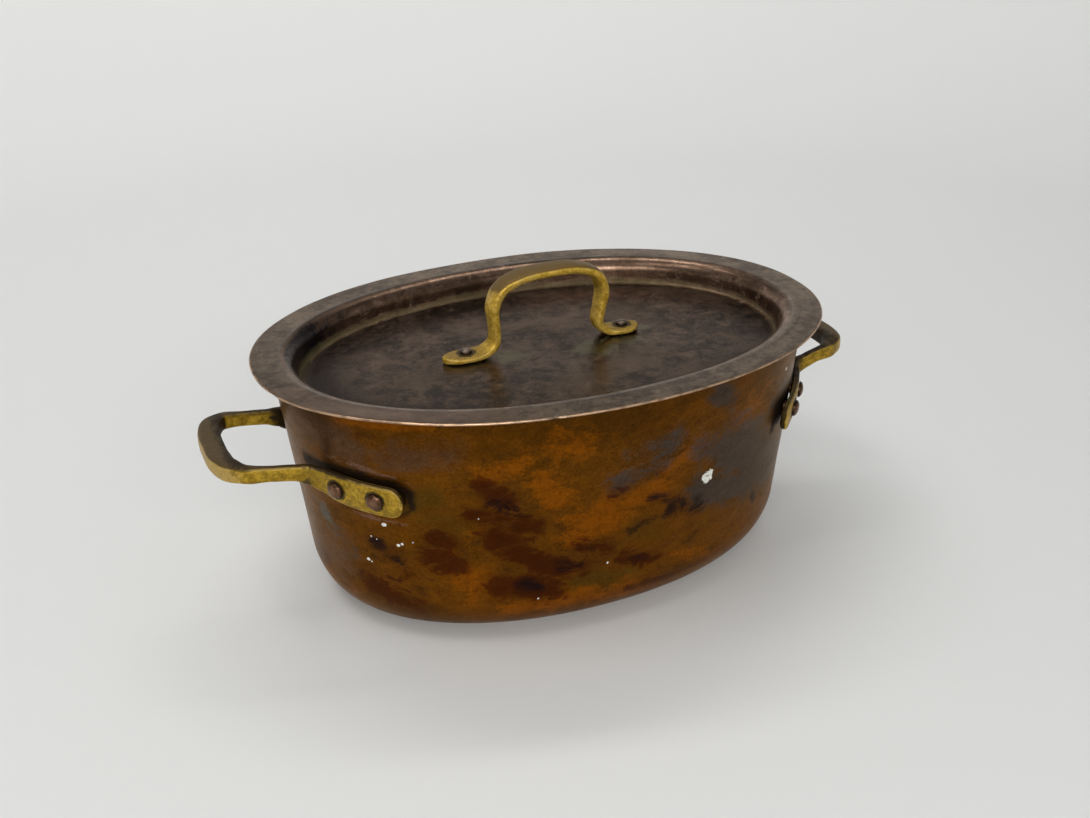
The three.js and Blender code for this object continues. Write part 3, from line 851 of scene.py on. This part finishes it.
# ---- the looks ----
def pot_copper_look():
    look = Look("aged_pot_copper", Specular_Tint=(0.88, 0.78, 0.68), Specular_IOR_Level=0.15)
    cloud = look.noise(42, 6, 0.62, 0.9, (1.6, 1.6, 1))
    patch = look.noise(19, 8, 0.66, 0.8, (1.8, 1.8, 1))
    smear = look.streaks(20, 8, 0.3)
    blot = look.noise(9, 9, 0.76, 0.7, (1.9, 1.9, 1))
    fine = look.noise(5, 8, 0.78, 0.5, (1.8, 1.8, 1))
    grain = look.noise(1.3, 5, 0.8)
    ragged = sum_of((patch, 0.8), (blot, 2.1), (smear, 0.5), (fine, 0.8), (grain, 0.7))
    broken = sum_of((fine, 1.8), (grain, 1.4), (smear, 0.5))

    warmth = sum_of((cloud, 1.4), (smear, 0.8)).ramp(-0.22, 0.22)
    colour = look.mix(warmth, (0.100, 0.038, 0.004), (0.150, 0.052, 0.004))
    colour = colour.mix(ragged.ramp(0.05, 0.55, 0, 0.65), (0.190, 0.062, 0.004))
    colour = colour.mix(ragged.ramp(-0.05, -0.60, 0, 0.75), (0.058, 0.022, 0.006))
    for layer, low, high, tint, strength in (
        ("olive", 0.25, 0.80, (0.090, 0.046, 0.006), 0.8),
        ("orange", 0.25, 0.85, (0.235, 0.068, 0.003), 0.9),
        ("mauve", 0.15, 0.75, (0.100, 0.050, 0.024), 0.85),
        ("slate", 0.18, 0.70, (0.056, 0.048, 0.043), 0.85),
        ("maroon", 0.34, 0.68, (0.050, 0.011, 0.003), 0.88),
        ("black", 0.36, 0.84, (0.014, 0.007, 0.007), 0.94),
        ("haze", 0.25, 0.80, (0.120, 0.075, 0.050), 0.35),
        ("verdigris", 0.10, 0.70, (0.095, 0.105, 0.092), 0.75),
        ("tide", 0.35, 0.85, (0.230, 0.130, 0.090), 0.6),
    ):
        colour = colour.mix(look.cover(layer, ragged, low, high, strength), tint)
    soot = look.cover("soot", broken * 0.8, 0.15, 0.75, 0.97)
    colour = colour.mix(soot, (0.009, 0.005, 0.002))
    specks = broken.ramp(0.10, 0.50) * look.layer("maroon").ramp(0.2, 0.7, 0, 0.75)
    colour = colour.mix(specks, (0.018, 0.007, 0.005))
    colour = colour.mix(broken.ramp(0.30, 0.80, 0, 0.30), (0.045, 0.020, 0.012))
    colour = colour.mix(broken.ramp(-0.30, -0.80, 0, 0.25), (0.240, 0.090, 0.018))
    colour = colour.shade(sum_of((fine, 1.1), (grain, 1.6)).ramp(-0.45, 0.45, 0.68, 1.34))

    # lighter low down, a painted reflection of the floor; darker under the rim, painted shade from the lid's
    # flange; a dark band along the bottom, painted shade where it stands; and bright round the mouth
    height = look.axis(2)
    colour = colour.shade(height.ramp(20, 75, 1.25, 1.0))
    colour = colour.shade(height.ramp(96, 124, 1.0, 0.72))
    colour = colour.mix((height + fine * 1.5).ramp(2.2, 1.0) * 0.85, (0.030, 0.020, 0.014))
    colour = colour.mix(height.ramp(POT_TOP - 1.6, POT_TOP - 0.6) * 0.8, (0.42, 0.22, 0.11))
    directions = (26, 0.42, 0.55, 0.35), (16, 0.38, -0.35, 0.30), (30, 0.45, 0.08, 0.30)
    scratch = look.scratches(look.unwrapped(), *directions)
    colour = colour.mix(scratch * 0.22, (0.30, 0.17, 0.09))

    crumbled = look.noise(2.6, 3, 0.6)
    spots = [look.spot(off_wall(*place), radius, crumbled) for *place, radius in PAINT_SPOTS]
    paint = reduce(Value.most, spots)
    paint *= look.noise(1.8, 4, 0.6).ramp(0.38, 0.44) * 0.7 + 0.3
    colour = colour.mix(paint, (0.66, 0.66, 0.60))

    rough = ragged.ramp(-0.6, 0.6, 0.42, 0.28) + (soot + paint) * 0.2 + scratch * 0.08
    look.set(Base_Color=colour, Metallic=paint.most(soot * 0.5).ramp(0, 1, 1, 0), Roughness=rough)
    look.bump((fine, 0.04), (grain, 0.02), (scratch, -0.01), (paint, 0.10))
    return look.material


def lid_copper_look():
    look = Look("aged_lid_copper", Specular_Tint=(0.97, 0.91, 0.87), Specular_IOR_Level=0.05)
    inset, on_flange, on_panel = look.layer("inset"), look.layer("flange"), look.layer("panel")
    drawn_out = 0.05 * MM
    sockets = {0: inset * MM, 1: look.axis(0) * drawn_out, 2: look.axis(1) * drawn_out}
    around = look.node("ShaderNodeCombineXYZ", sockets)
    cloud = look.noise(26, 6, 0.62, 0.8)
    patch = look.noise(11, 7, 0.68, 0.6)
    fine = look.noise(4, 7, 0.72, 0.4)
    grain = look.noise(1.0, 4, 0.7)
    rings = look.noise(0.8, 4, 0.65, where=around)
    broad_rings = look.noise(3.2, 5, 0.6, where=around)
    blot = look.noise(7, 9, 0.80, 0.8)
    mottle = sum_of((cloud, 1.2), (patch, 1.0), (blot, 1.2), (fine, 0.9), (grain, 0.5))
    gritty = sum_of((fine, 1.4), (grain, 1.4))

    # the flange: dull grey-brown, streaked round, warmer towards the left front
    flange = look.mix(mottle.ramp(-0.25, 0.25), (0.076, 0.056, 0.039), (0.215, 0.158, 0.108))
    flange = flange.mix(broad_rings.ramp(0.50, 0.66, 0, 0.5), (0.056, 0.041, 0.030))
    flange = flange.mix(look.cover("warm", mottle, 0.15, 0.9, 0.7), (0.150, 0.085, 0.055))
    flange = flange.mix(rings.ramp(0.58, 0.72, 0, 0.35), (0.27, 0.21, 0.16))
    flange = flange.mix(blot.ramp(0.56, 0.64, 0, 0.5), (0.062, 0.045, 0.034))
    flange = flange.mix(gritty.ramp(0.15, 0.55, 0, 0.60), (0.045, 0.034, 0.028))

    # the shoulder and the dish's wall: darker, redder and glossier
    wall = look.mix(mottle.ramp(-0.4, 0.4), (0.085, 0.050, 0.032), (0.215, 0.138, 0.094))
    wall = wall.mix(broad_rings.ramp(0.50, 0.62, 0, 0.7), (0.055, 0.032, 0.021))
    wall = wall.mix(look.cover("blue", mottle, 0.2, 0.8, 0.95), (0.005, 0.005, 0.009))

    # the panel: dark, with a purple tinge, smudges, fine scratches and painted shade that deepens towards its
    # edge and at the left
    shade = look.cover("shade", mottle, 0.0, 0.9, 0.92)
    panel = look.mix(mottle.ramp(-0.30, 0.30), (0.022, 0.014, 0.010), (0.130, 0.084, 0.056))
    panel = panel.mix(shade, (0.010, 0.006, 0.005))
    panel = panel.mix(look.cover("smudge", mottle, 0.2, 0.9, 0.6), (0.120, 0.078, 0.046))
    panel = panel.mix(look.cover("chalk", mottle, 0.25, 0.9, 0.80), (0.135, 0.122, 0.068))
    panel = panel.mix(blot.ramp(0.56, 0.66, 0, 0.6), (0.013, 0.009, 0.008))
    panel = panel.mix(gritty.ramp(0.15, 0.55, 0, 0.55), (0.012, 0.008, 0.007))
    panel = panel.mix(gritty.ramp(-0.25, -0.65, 0, 0.45), (0.135, 0.095, 0.066))

    colour = wall.mix(on_flange, flange).mix(on_panel, panel)
    directions = (18, 0.42, 0.5, 0.60), (26, 0.45, 2.3, 0.5), (12, 0.38, 1.2, 0.5)
    colour = colour.mix(look.scratches(look.place, *directions) * 0.40, (0.26, 0.215, 0.175))
    crust = sum_of((look.noise(3.0, 5, 0.7, 0, (1.5, 1.5, 1)), 1.6), (broad_rings, 1.2))
    painted = look.layer("residue")
    residue = (painted + crust).ramp(0.20, 1.00) * painted.ramp(0.05, 0.3)
    colour = colour.mix(residue * 0.50, (0.125, 0.100, 0.042))
    colour = colour.mix((look.layer("corner") + crust * 0.5).ramp(0.25, 0.8) * 0.7, (0.030, 0.022, 0.016))
    # a painted highlight along the flange's very edge
    lip = inset.ramp(0.95, 0.20) * look.noise(9, 4, 0.6).ramp(0.38, 0.56, 0.35, 1.0)
    colour = colour.mix(lip, (0.58, 0.38, 0.24))
    colour = colour.mix(look.layer("bend") * broad_rings.ramp(0.4, 0.6, 0.2, 0.7), (0.25, 0.225, 0.21))

    # not metallic on the dark spots, nor where the panel has its painted shade
    oxide_and_shade = blot.ramp(0.53, 0.62, 0, 0.75).most(shade * on_panel)
    flat = on_flange.most(on_panel)
    tooth = flat.ramp(0, 1, 0.35, 1)
    rough = mottle.ramp(-0.6, 0.6, 0.38, 0.28) + flat.ramp(0, 1, -0.03, 0) + residue * 0.3
    look.set(Base_Color=colour, Metallic=oxide_and_shade.most(residue * 0.5).ramp(0, 1, 1, 0), Roughness=rough)
    look.bump((fine * tooth, 0.05), (rings * tooth, 0.02), (grain, 0.012), (residue, 0.10))
    return look.material


def tin_look(name, stain_height):
    look = Look(name)
    cloud = look.noise(32, 6, 0.65, 0.8)
    fine = look.noise(5, 6, 0.7, 0.4)
    colour = look.mix(cloud.ramp(0.35, 0.65), (0.33, 0.31, 0.285), (0.50, 0.485, 0.455))
    colour = colour.mix(fine.ramp(0.54, 0.70) * 0.5, (0.20, 0.175, 0.150))
    low = (look.axis(2) + (cloud + -0.5) * 40).ramp(stain_height, 0)
    colour = colour.mix(low * 0.55, (0.22, 0.170, 0.125))
    colour = colour.mix((cloud * 0.6 + fine * 0.4).ramp(0.60, 0.66) * 0.6, (0.40, 0.20, 0.10))
    look.set(Base_Color=colour, Roughness=fine.ramp(0.35, 0.65, 0.30, 0.46))
    look.bump((fine, 0.06), (look.noise(1.0, 3, 0.6), 0.02))
    return look.material


def brass_look(name, tone, crust):
    look = Look(name, Metallic=0.40, Specular_IOR_Level=0.15)
    cloud = look.noise(16, 5, 0.6, 0.6)
    fine = look.noise(3.2, 6, 0.7, 0.4)
    pits = look.noise(0.9, 3, 0.6).ramp(0.60, 0.68)
    mottle = sum_of((cloud, 1.2), (fine, 1.3))
    colour = look.mix(mottle.ramp(-0.25, 0.25), (0.22, 0.132, 0.010), (0.40, 0.250, 0.022))
    colour = colour.shade((tone, tone, tone))
    speckle = sum_of((fine, 1.2), (look.noise(1.3, 4, 0.75), 1.5))
    colour = colour.shade(speckle.ramp(-0.4, 0.4, 0.72, 1.28))
    colour = colour.mix(cloud.ramp(0.52, 0.66) * 0.45, (0.15, 0.080, 0.010))
    # paler in patches; on the side handles it is a painted highlight towards the grip's outer end
    colour = colour.mix(look.cover("pale", mottle, 0.2, 0.8, 0.6), (0.46, 0.32, 0.11))
    top = look.cover("upward", mottle, 0.15, 0.90, 0.92)
    colour = colour.mix(top, crust)
    colour = colour.mix((look.layer("corner") + mottle).ramp(0.45, 1.0) * 0.5, (0.52, 0.36, 0.10))
    # near black: dirt by the wall, and painted shade on the back arms, on faces turned to the pot and along
    # the grip's inside edge
    grime = look.cover("grime", mottle, 0.20, 0.90, 0.93)
    colour = colour.mix(grime, (0.022, 0.013, 0.005))
    dirt = look.cover("recess", mottle * 1.3, 0.30, 0.80, 0.9)
    colour = colour.mix(dirt, (0.035, 0.022, 0.010))
    colour = colour.mix(pits * 0.55, (0.05, 0.032, 0.012))
    rough = fine.ramp(0.35, 0.65, 0.38, 0.50) + (top + grime + dirt) * 0.08
    look.set(Base_Color=colour, Roughness=rough)
    look.bump((fine, 0.10), (pits, -0.07), (look.noise(1.6, 4, 0.6), 0.05))
    return look.material


def rivet_look(name, dull, worn):
    look = Look(name)
    fine = look.noise(2.2, 5, 0.65, 0.5)
    colour = look.mix(fine.ramp(0.38, 0.62), dull, worn)
    colour = colour.mix(look.layer("crown") * 0.45, tuple(part * 2.0 for part in worn))
    colour = colour.mix(look.layer("rim") * 0.85, (0.030, 0.018, 0.012))
    look.set(Base_Color=colour, Roughness=fine.ramp(0.35, 0.65, 0.28, 0.42))
    look.bump((fine, 0.10), (look.noise(0.8, 3, 0.6), 0.03))
    return look.material


# ---- the pot and the lid, in copper lined with tin ----
def near(points, places, radius):
    """1 at any of some places (x, y, size) on the lid, fading over the radius times the place's size."""
    cover = np.zeros(len(points))
    for x, y, wide in places:
        apart = np.hypot(points[:, 0] - x, (points[:, 1] - y) * 1.3)
        cover = np.maximum(cover, bell(apart, 0, radius * wide))
    return cover


def add_pot():
    rivets = list(all_side_rivets().values())
    points, faces = pot_shell(0, POT_WALL)
    copper = make_piece("pot_copper", points, faces, "pot", pot_copper_look(), "pot_body")
    drill(copper, rivets, SIDE_RIVET)
    points = piece_points(copper)
    for layer, marks in WALL_MARKS.items():
        cover = np.zeros(len(points))
        for *place, strength in marks:
            cover = np.maximum(cover, strength * stroke(points, *place))
        paint(copper, **{layer: cover})
    unwrap(copper)

    inside = POT_WALL + GAP
    points, faces = pot_shell(inside, inside + TIN)
    points[:, 2] -= GAP * smoothstep(POT_TOP - 10, POT_TOP, points[:, 2])
    tin = tin_look("pot_tin", 60)
    lining = make_piece("pot_lining", points, faces, "pot", tin, "pot_tin_lining")
    drill(lining, rivets, SIDE_RIVET)


def paint_lid(copper):
    points = piece_points(copper)
    inset = inset_from_rim(points)
    turn = np.arctan2(points[:, 1] / RIM_HALF_WIDTH, points[:, 0] / RIM_HALF_LENGTH)
    rise = points[:, 2] - PANEL_TOP
    panel_start = FLANGE_WIDTH + SHOULDER_RADIUS + 2.4
    deep = 0.75 + 0.35 * bump_at(turn, 90, 60) + 0.3 * bump_at(turn, 180, 40)
    on_wall = smoothstep(panel_start + 2.6, panel_start + 0.8, inset)
    on_wall *= smoothstep(FLANGE_WIDTH, FLANGE_WIDTH + 4, inset)
    left_foot = (BOW_OFFSET[0] - 46, BOW_OFFSET[1] - 4, 1.0)
    right_foot = (BOW_OFFSET[0] + 40, BOW_OFFSET[1] - 12, 0.9)
    chalky = [left_foot, right_foot, (24, -12, 1.3), (58, 2, 0.5), (-20, -4, 0.8)]
    smudged = [(-70, -10, 1), (0, -50, 1.3), (60, 30, 1), (30, -35, 1.1)]
    paint(
        copper,
        inset=inset,
        flange=smoothstep(FLANGE_WIDTH + 2.5, FLANGE_WIDTH, inset),
        bend=bell(inset, FLANGE_WIDTH + 0.6, 0.8),
        panel=smoothstep(panel_start - 0.5, panel_start + 2, inset),
        residue=deep * on_wall * bell(rise, 1.2, 2.2),
        corner=bell(inset, panel_start + 2.4, 1.3),
        warm=bump_at(turn, -140, 28) * smoothstep(20, 10, inset),
        blue=bump_at(turn, 163, 26) * smoothstep(15, 19, inset) * smoothstep(26, 23, inset),
        # painted shade on the panel, deepening towards its edge and at the left
        shade=smoothstep(58, 26, inset) * (0.35 + 0.65 * bump_at(turn, -172, 50)),
        chalk=1.2 * near(points, chalky, 12),
        smudge=near(points, smudged, 22),
    )


def add_lid():
    rivets = list(lid_rivets().values())
    points, faces = lid_sheet(-LID_SHEET, 0)
    copper = make_piece("lid_copper", points, faces, "lid", lid_copper_look(), "lid_shell")
    drill(copper, rivets, LID_RIVET)
    paint_lid(copper)

    under = -(LID_SHEET + GAP)
    points, faces = lid_sheet(under - TIN, under, LID_TIN_INSET)
    tin = tin_look("lid_tin", 0.01)
    lining = make_piece("lid_lining", points, faces, "lid", tin, "lid_tin_lining")
    drill(lining, rivets, LID_RIVET)


# ---- the brass handles and the rivets ----
def section_corner(piece):
    """How near each point is to a corner of its strap, from how sharply the surface turns there."""
    points, normals = piece_points(piece), piece_normals(piece)
    one, other = read(piece.data.edges, "vertices", 2).T
    length = np.linalg.norm(points[one] - points[other], axis=1)
    turn = np.linalg.norm(normals[one] - normals[other], axis=1) / np.maximum(length, 0.05)
    sharpest = np.zeros(len(normals))
    for ends in (one, other):
        np.maximum.at(sharpest, ends, turn)
    return smoothstep(0.25, 0.9, sharpest)


def finish_handle(piece, rivets, upward, pale, grime, dirt):
    """Paints a handle's worn corners, dirt round its rivets, and where it is brown, pale (partly a painted
    highlight) or black (dirt and painted shade).
    """
    points, normals = piece_points(piece), piece_normals(piece)
    for point, outward, _ in rivets:
        ring = np.linalg.norm(np.cross(points - point, outward), axis=1)
        dirt = np.maximum(dirt, bell(np.maximum(ring - 4.4, 0), 0, 1.3))
    upward = upward * smoothstep(0.35, 0.75, normals[:, 2])
    paint(piece, corner=section_corner(piece), upward=upward, grime=grime, recess=dirt, pale=pale)


def handle_stains_and_light(piece, reach, turned_round):
    """Where a side handle is pale, partly as a painted highlight, where it is black with dirt and painted
    shade, and the dirt at its necks.
    """
    points, normals = piece_points(piece), piece_normals(piece)
    out, back, up = np.abs(points[:, 0]), points[:, 1], normals[:, 2]
    # darker by the wall on faces turned up: dirt, and painted shade on the feet's top edges
    by_wall = smoothstep(140, 128, out) * smoothstep(-0.2, 0.5, up)
    # painted shade on faces turned towards the pot
    inner = smoothstep(0.3, 0.8, -normals[:, 0] * np.sign(points[:, 0]))
    on_arm = smoothstep(116, 130, out) * smoothstep(reach - 4, reach - 18, out)
    # painted shade on the back arm and on the arms' top faces, and on the right handle by the necks too
    if turned_round:
        shaded = smoothstep(144, 134, out) * smoothstep(0, 10, back) * on_arm
        dim = 0.75 * smoothstep(0, 10, back) * smoothstep(-0.10, 0.25, up)
    else:
        shaded = 0.9 * smoothstep(2, 10, back) * on_arm
        dim = 0.9 * smoothstep(118, 132, out) * smoothstep(148, 134, out)
        dim = np.maximum(dim, smoothstep(0.3, 0.8, up))
    shaded = np.maximum(shaded, 0.8 * dim * on_arm)
    # painted shade along the inside edge of the grip's top
    in_grip = smoothstep(reach - 14, reach - 8, out) * smoothstep(reach + 0.5, reach - 5.0, out)
    inside_edge = 0.8 * in_grip * smoothstep(0, 0.5, up)
    grime = np.maximum.reduce([by_wall * (0.4 + 0.6 * on_arm), inner, shaded, inside_edge])
    # paler towards the grip's outer end, a painted highlight; and dirt at the necks
    return smoothstep(reach - 14, reach + 3, out), grime, 0.55 * bell(out, 136, 7)


def add_side_handle(name, shape, turned_round, node):
    points, faces = bar(side_stations(*shape), side_across, 7.0)
    points = cast_surface(points)
    rivets = foot_rivets(1) + foot_rivets(-1)
    if turned_round:
        points[:, :2] *= -1
        rivets = [(half_turned(p), half_turned(n), grip) for p, n, grip in rivets]
    piece = make_piece(name, points, faces, "pot", side_brass, node)
    drill(piece, rivets, SIDE_RIVET)
    finish_handle(piece, rivets, 1.0, *handle_stains_and_light(piece, shape[0], turned_round))


def bow_across(points):
    return np.tile([0.0, 1.0, 0.0], (len(points), 1))


def add_bow():
    points, faces = bar(bow_stations(), bow_across, 9.0, squareness=3.0)
    rivets = list(lid_rivets().values())
    points = cast_surface(points, 0.8)
    piece = make_piece("lid_bow_handle", points, faces, "lid", bow_brass, "lid_handle")
    drill(piece, rivets, LID_RIVET)
    height = piece_points(piece)[:, 2]
    arch = smoothstep(FLANGE_TOP + 8, FLANGE_TOP + 20, height)
    foot = smoothstep(PANEL_TOP + 8, PANEL_TOP + 4, height) * 0.6
    none = np.zeros(len(height))
    finish_handle(piece, rivets, np.maximum(arch, foot), none + 0.45, none, none)


def add_rivet(name, rivet, size, seed, body, material):
    points, faces, local = rivet_shape(*rivet, size, seed)
    piece = make_piece(f"{name}_domed", points, faces, body, material, name)
    out = np.hypot(local[:, 0], local[:, 1]) / size["head"]
    on_head = local[:, 2] > 0
    paint(piece, crown=on_head * smoothstep(0.7, 0.1, out), rim=on_head * smoothstep(0.82, 1, out))
    piece.data.set_sharp_from_angle(angle=math.radians(50))


side_brass = brass_look("aged_side_brass", 1.0, (0.056, 0.034, 0.015))
bow_brass = brass_look("aged_bow_brass", 1.65, (0.105, 0.062, 0.022))
add_pot()
add_lid()
add_side_handle("left_side_handle", LEFT_HANDLE, True, "left_handle")
add_side_handle("right_side_handle", RIGHT_HANDLE, False, "right_handle")
add_bow()
wall_rivet = rivet_look("pot_rivet_copper", (0.085, 0.042, 0.024), (0.180, 0.095, 0.055))
cap_rivet = rivet_look("lid_rivet_copper", (0.090, 0.068, 0.050), (0.170, 0.130, 0.100))
for index, (name, rivet) in enumerate(all_side_rivets().items()):
    add_rivet(name, rivet, SIDE_RIVET, 20 + 3 * index, "pot", wall_rivet)
for index, (name, rivet) in enumerate(lid_rivets().items()):
    add_rivet(name, rivet, LID_RIVET, 60 + 3 * index, "lid", cap_rivet)


# ---- floor and backdrop ----
def add_stage():
    """A round floor that curves up into a wall all the way round, so that every view has one."""
    floor_radius, curve, wall_top, sides = 850, 700, 750, 96
    turns = np.linspace(0, math.pi / 2, 17)
    profile = [(floor_radius + curve * math.sin(t), curve * (1 - math.cos(t))) for t in turns]
    profile = [(300, 0), (600, 0)] + profile + [(floor_radius + curve, wall_top)]
    angles = np.linspace(0, 2 * math.pi, sides, endpoint=False)
    rings = [(r * math.cos(a), r * math.sin(a), h) for r, h in profile for a in angles]
    faces = [tuple(range(sides))] + [face[::-1] for face in ring_faces(len(profile), sides)]
    floor = new_object("studio_floor", rings, faces)
    look = Look(
        "pale_plaster", Metallic=0.0, Roughness=0.85, Specular_IOR_Level=0.2, Base_Color=(0.70, 0.70, 0.685)
    )
    floor.data.materials.append(look.material)


# ---- light and camera ----
def add_lamp(name, place, aim, size, watts):
    lamp = bpy.data.lights.new(name, "AREA")
    lamp.shape = "RECTANGLE"
    lamp.size, lamp.size_y = size
    lamp.energy = watts
    thing = bpy.data.objects.new(name, lamp)
    thing.location = place
    thing.rotation_euler = (Vector(aim) - Vector(place)).to_track_quat("-Z", "Y").to_euler()
    bpy.context.collection.objects.link(thing)


def add_light():
    world = bpy.data.worlds.new("studio")
    world.use_nodes = True
    background = world.node_tree.nodes["Background"]
    background.inputs["Color"].default_value = (0.97, 0.985, 1.0, 1)
    background.inputs["Strength"].default_value = 0.33
    bpy.context.scene.world = world
    add_lamp("overhead_window", (-0.62, -0.20, 1.35), (0, 0, 0.1), (0.75, 0.40), 4.5)
    add_lamp("front_window", (-0.45, -1.45, 0.70), (0.0, -0.1, 0.0), (1.5, 0.6), 30)
    add_lamp("backdrop_washer", (0.0, 0.6, 1.7), (0.25, 1.5, 0.35), (1.6, 0.4), 14.5)


def add_camera():
    """The camera stands in front, to the left and above, and is turned a little on its own axis."""
    azimuth, elevation, roll = [math.radians(angle) for angle in (-22.81, 25.35, -1.54)]
    target, distance = Vector((0.0176, 0.0440, 0.0600)), 0.7164
    lens = bpy.data.cameras.new("camera")
    lens.sensor_width = 36
    lens.lens = 41.28
    camera = bpy.data.objects.new("camera", lens)
    tilt = Matrix.Rotation(math.pi / 2 - elevation, 4, "X")
    turn = Matrix.Rotation(azimuth, 4, "Z") @ tilt @ Matrix.Rotation(roll, 4, "Z")
    camera.matrix_world = Matrix.Translation(target) @ turn @ Matrix.Translation((0, 0, distance))
    bpy.context.collection.objects.link(camera)
    bpy.context.scene.camera = camera


add_stage()
add_light()
add_camera()
bpy.context.scene.view_settings.view_transform = "Standard"
